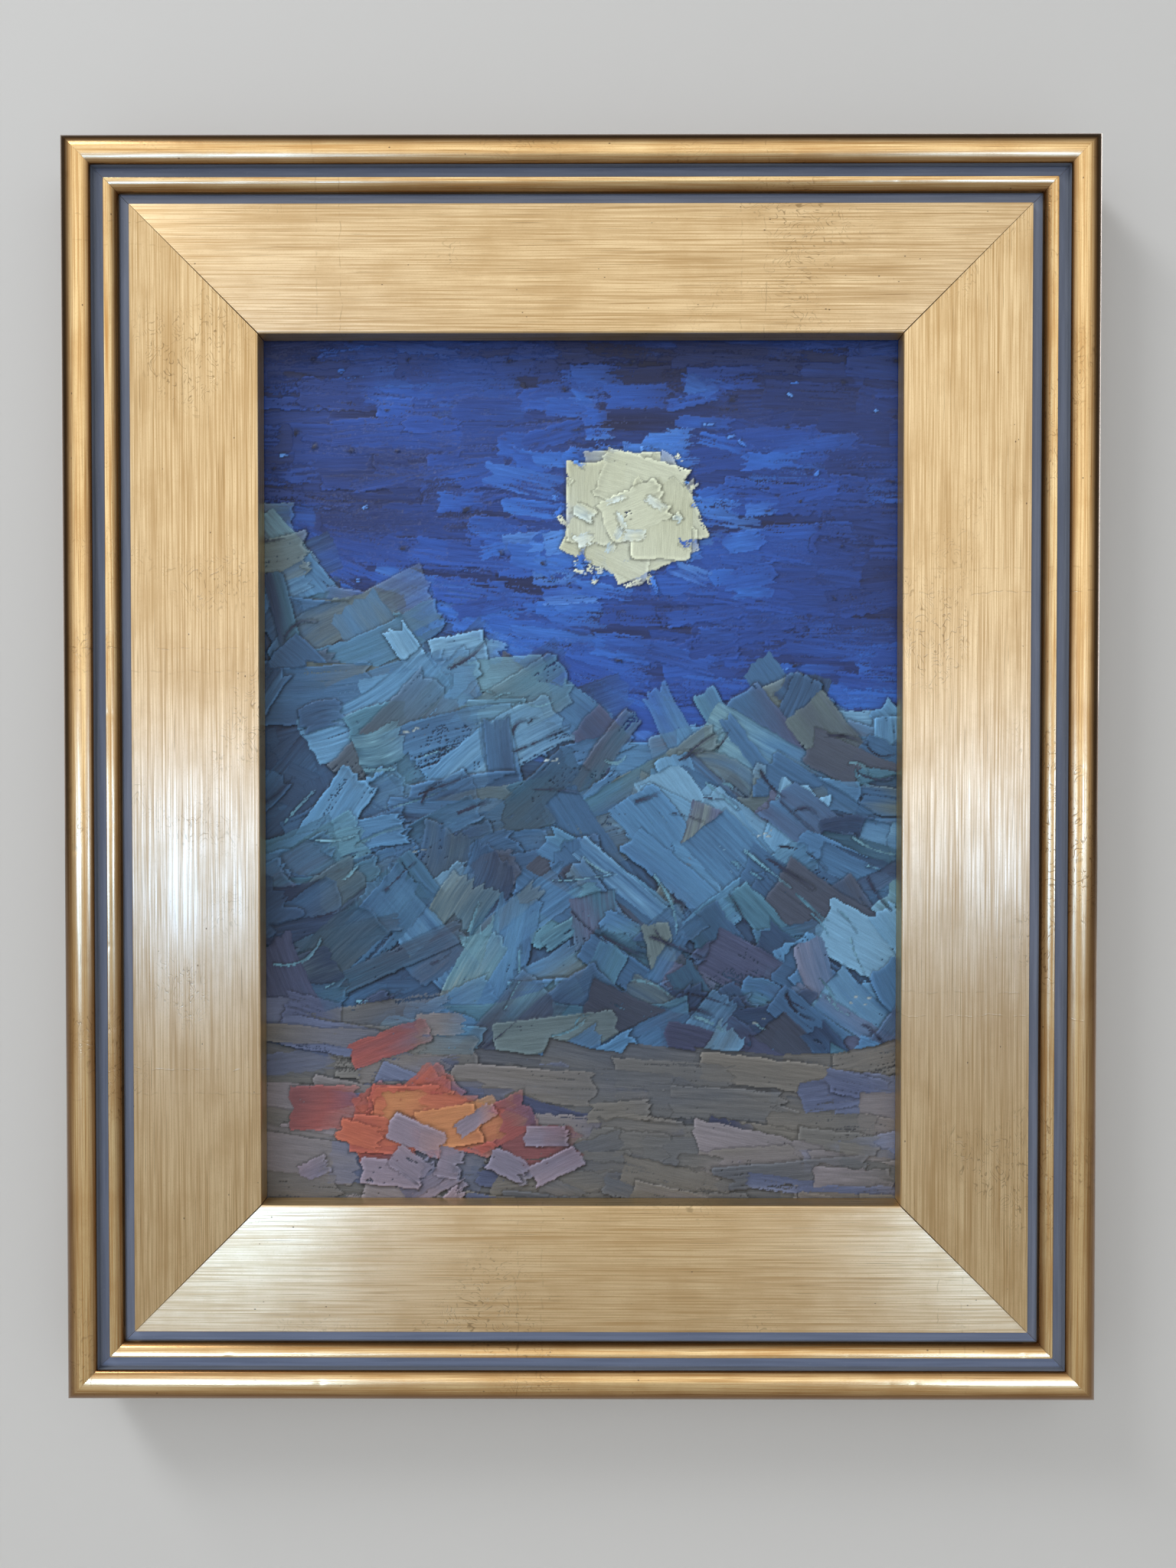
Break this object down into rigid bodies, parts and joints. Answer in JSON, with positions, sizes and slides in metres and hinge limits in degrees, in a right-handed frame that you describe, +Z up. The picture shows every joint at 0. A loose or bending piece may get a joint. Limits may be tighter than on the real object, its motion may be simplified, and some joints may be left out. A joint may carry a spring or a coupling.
{
  "type": "picture frame",
  "caption": "Gilt mitred picture frame holding an oil painting on a panel, with turn buttons, ring hangers and a hanging wire.",
  "frame": {"origin": "middle of the rear bottom edge, where the plane of the rails' backs meets the flat bottom face", "axes": "+Z up with the frame hanging upright, -Y out of the painting towards the viewer, +Y into the wall, +X to the viewer's right"},
  "size_m": [0.342, 0.0271, 0.4182],
  "materials": {
    "gilded_moulding": "satin",
    "underpin_steel": "satin",
    "oil_paint": "satin",
    "hardboard": "matte",
    "kraft_board": "matte",
    "button_steel": "satin",
    "screw_steel": "satin",
    "hanger_steel": "satin",
    "braided_wire": "satin",
    "bumper_rubber": "matte"
  },
  "bodies": {
    "frame": {"top_rail": "gilded_moulding", "bottom_rail": "gilded_moulding", "left_rail": "gilded_moulding", "right_rail": "gilded_moulding", "corner_underpins": "underpin_steel", "oil_paint_layer": "oil_paint", "painting_panel": "hardboard", "backing_board": "kraft_board", "turn_button_screws": "screw_steel", "hanger_screws": "screw_steel", "hanger_strap_left": "hanger_steel", "wall_bumper_left": "bumper_rubber", "hanger_strap_right": "hanger_steel", "wall_bumper_right": "bumper_rubber", "hanging_wire": "braided_wire"},
    "turn_button_left_upper": {"turn_button_left_upper": "button_steel"},
    "turn_button_left_lower": {"turn_button_left_lower": "button_steel"},
    "turn_button_right_upper": {"turn_button_right_upper": "button_steel"},
    "turn_button_right_lower": {"turn_button_right_lower": "button_steel"},
    "turn_button_top": {"turn_button_top": "button_steel"},
    "turn_button_bottom": {"turn_button_bottom": "button_steel"},
    "hanger_ring_left": {"hanger_ring_left": "hanger_steel"},
    "hanger_ring_right": {"hanger_ring_right": "hanger_steel"}
  },
  "joints": [
    {"name": "turn_button_left_upper_pivot", "type": "hinge", "parent": "frame", "child": "turn_button_left_upper", "pos_m": [-0.1239, 0.0007, 0.3191], "axis": [0, 1, 0], "continuous": true},
    {"name": "turn_button_left_lower_pivot", "type": "hinge", "parent": "frame", "child": "turn_button_left_lower", "pos_m": [-0.1239, 0.0007, 0.0991], "axis": [0, 1, 0], "continuous": true},
    {"name": "turn_button_right_upper_pivot", "type": "hinge", "parent": "frame", "child": "turn_button_right_upper", "pos_m": [0.1239, 0.0007, 0.3191], "axis": [0, 1, 0], "continuous": true},
    {"name": "turn_button_right_lower_pivot", "type": "hinge", "parent": "frame", "child": "turn_button_right_lower", "pos_m": [0.1239, 0.0007, 0.0991], "axis": [0, 1, 0], "continuous": true},
    {"name": "turn_button_top_pivot", "type": "hinge", "parent": "frame", "child": "turn_button_top", "pos_m": [0, 0.0007, 0.3711], "axis": [0, 1, 0], "continuous": true},
    {"name": "turn_button_bottom_pivot", "type": "hinge", "parent": "frame", "child": "turn_button_bottom", "pos_m": [0, 0.0007, 0.0471], "axis": [0, 1, 0], "continuous": true},
    {"name": "hanger_ring_left_hinge", "type": "hinge", "parent": "frame", "child": "hanger_ring_left", "pos_m": [-0.1319, 0.00208, 0.2788], "axis": [0, 0, 1], "range_deg": [0, 60], "deforming": ["hanging_wire"]},
    {"name": "hanger_ring_right_hinge", "type": "hinge", "parent": "frame", "child": "hanger_ring_right", "pos_m": [0.1319, 0.00208, 0.2788], "axis": [0, 0, -1], "range_deg": [0, 60], "deforming": ["hanging_wire"]}
  ]
}
